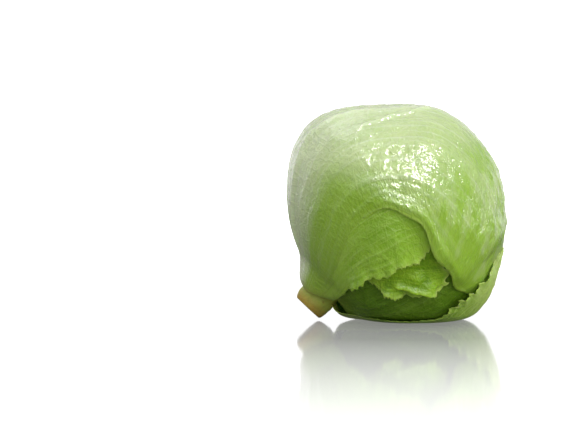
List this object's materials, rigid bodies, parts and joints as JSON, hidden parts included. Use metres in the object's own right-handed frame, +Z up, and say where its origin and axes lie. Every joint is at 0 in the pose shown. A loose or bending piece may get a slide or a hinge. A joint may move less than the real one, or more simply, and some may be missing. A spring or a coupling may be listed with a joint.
{
  "type": "iceberg lettuce head",
  "caption": "Whole round lettuce head on its side: overlapping ribbed leaves with waved edges round a dense heart, with a short cut stem.",
  "frame": {"origin": "on the ground under the middle of the head's box, with the head lying on its side", "axes": "+Z up. -Y towards the side that the picture shows. The stem points to -X and down, and the head's top to +X and up."},
  "size_m": [0.1516, 0.1674, 0.1483],
  "materials": {
    "under_leaf": "thin leaf, slightly waxy, mottled pale green",
    "cover_leaf": "thin leaf, waxy, whitish ribs on pale green, green at its edge",
    "back_low_leaf": "thin leaf, slightly waxy, light green",
    "front_leaf": "thin leaf, slightly waxy, fresh green with pale ribs",
    "back_top_leaf": "thin leaf, slightly waxy, light green",
    "flap_leaf": "thin crumpled leaf, slightly waxy, yellow-green",
    "bottom_leaf": "thin leaf, slightly waxy, dark green",
    "heart": "tightly folded pale inner leaves",
    "stem": "olive stalk with a paler, sappy cut face"
  },
  "bodies": {
    "root": {"under_leaf": "under_leaf", "cover_leaf": "cover_leaf", "back_low_leaf": "back_low_leaf", "front_leaf": "front_leaf", "back_top_leaf": "back_top_leaf", "flap_leaf": "flap_leaf", "bottom_leaf": "bottom_leaf", "heart": "heart", "stem": "stem"}
  },
  "joints": []
}
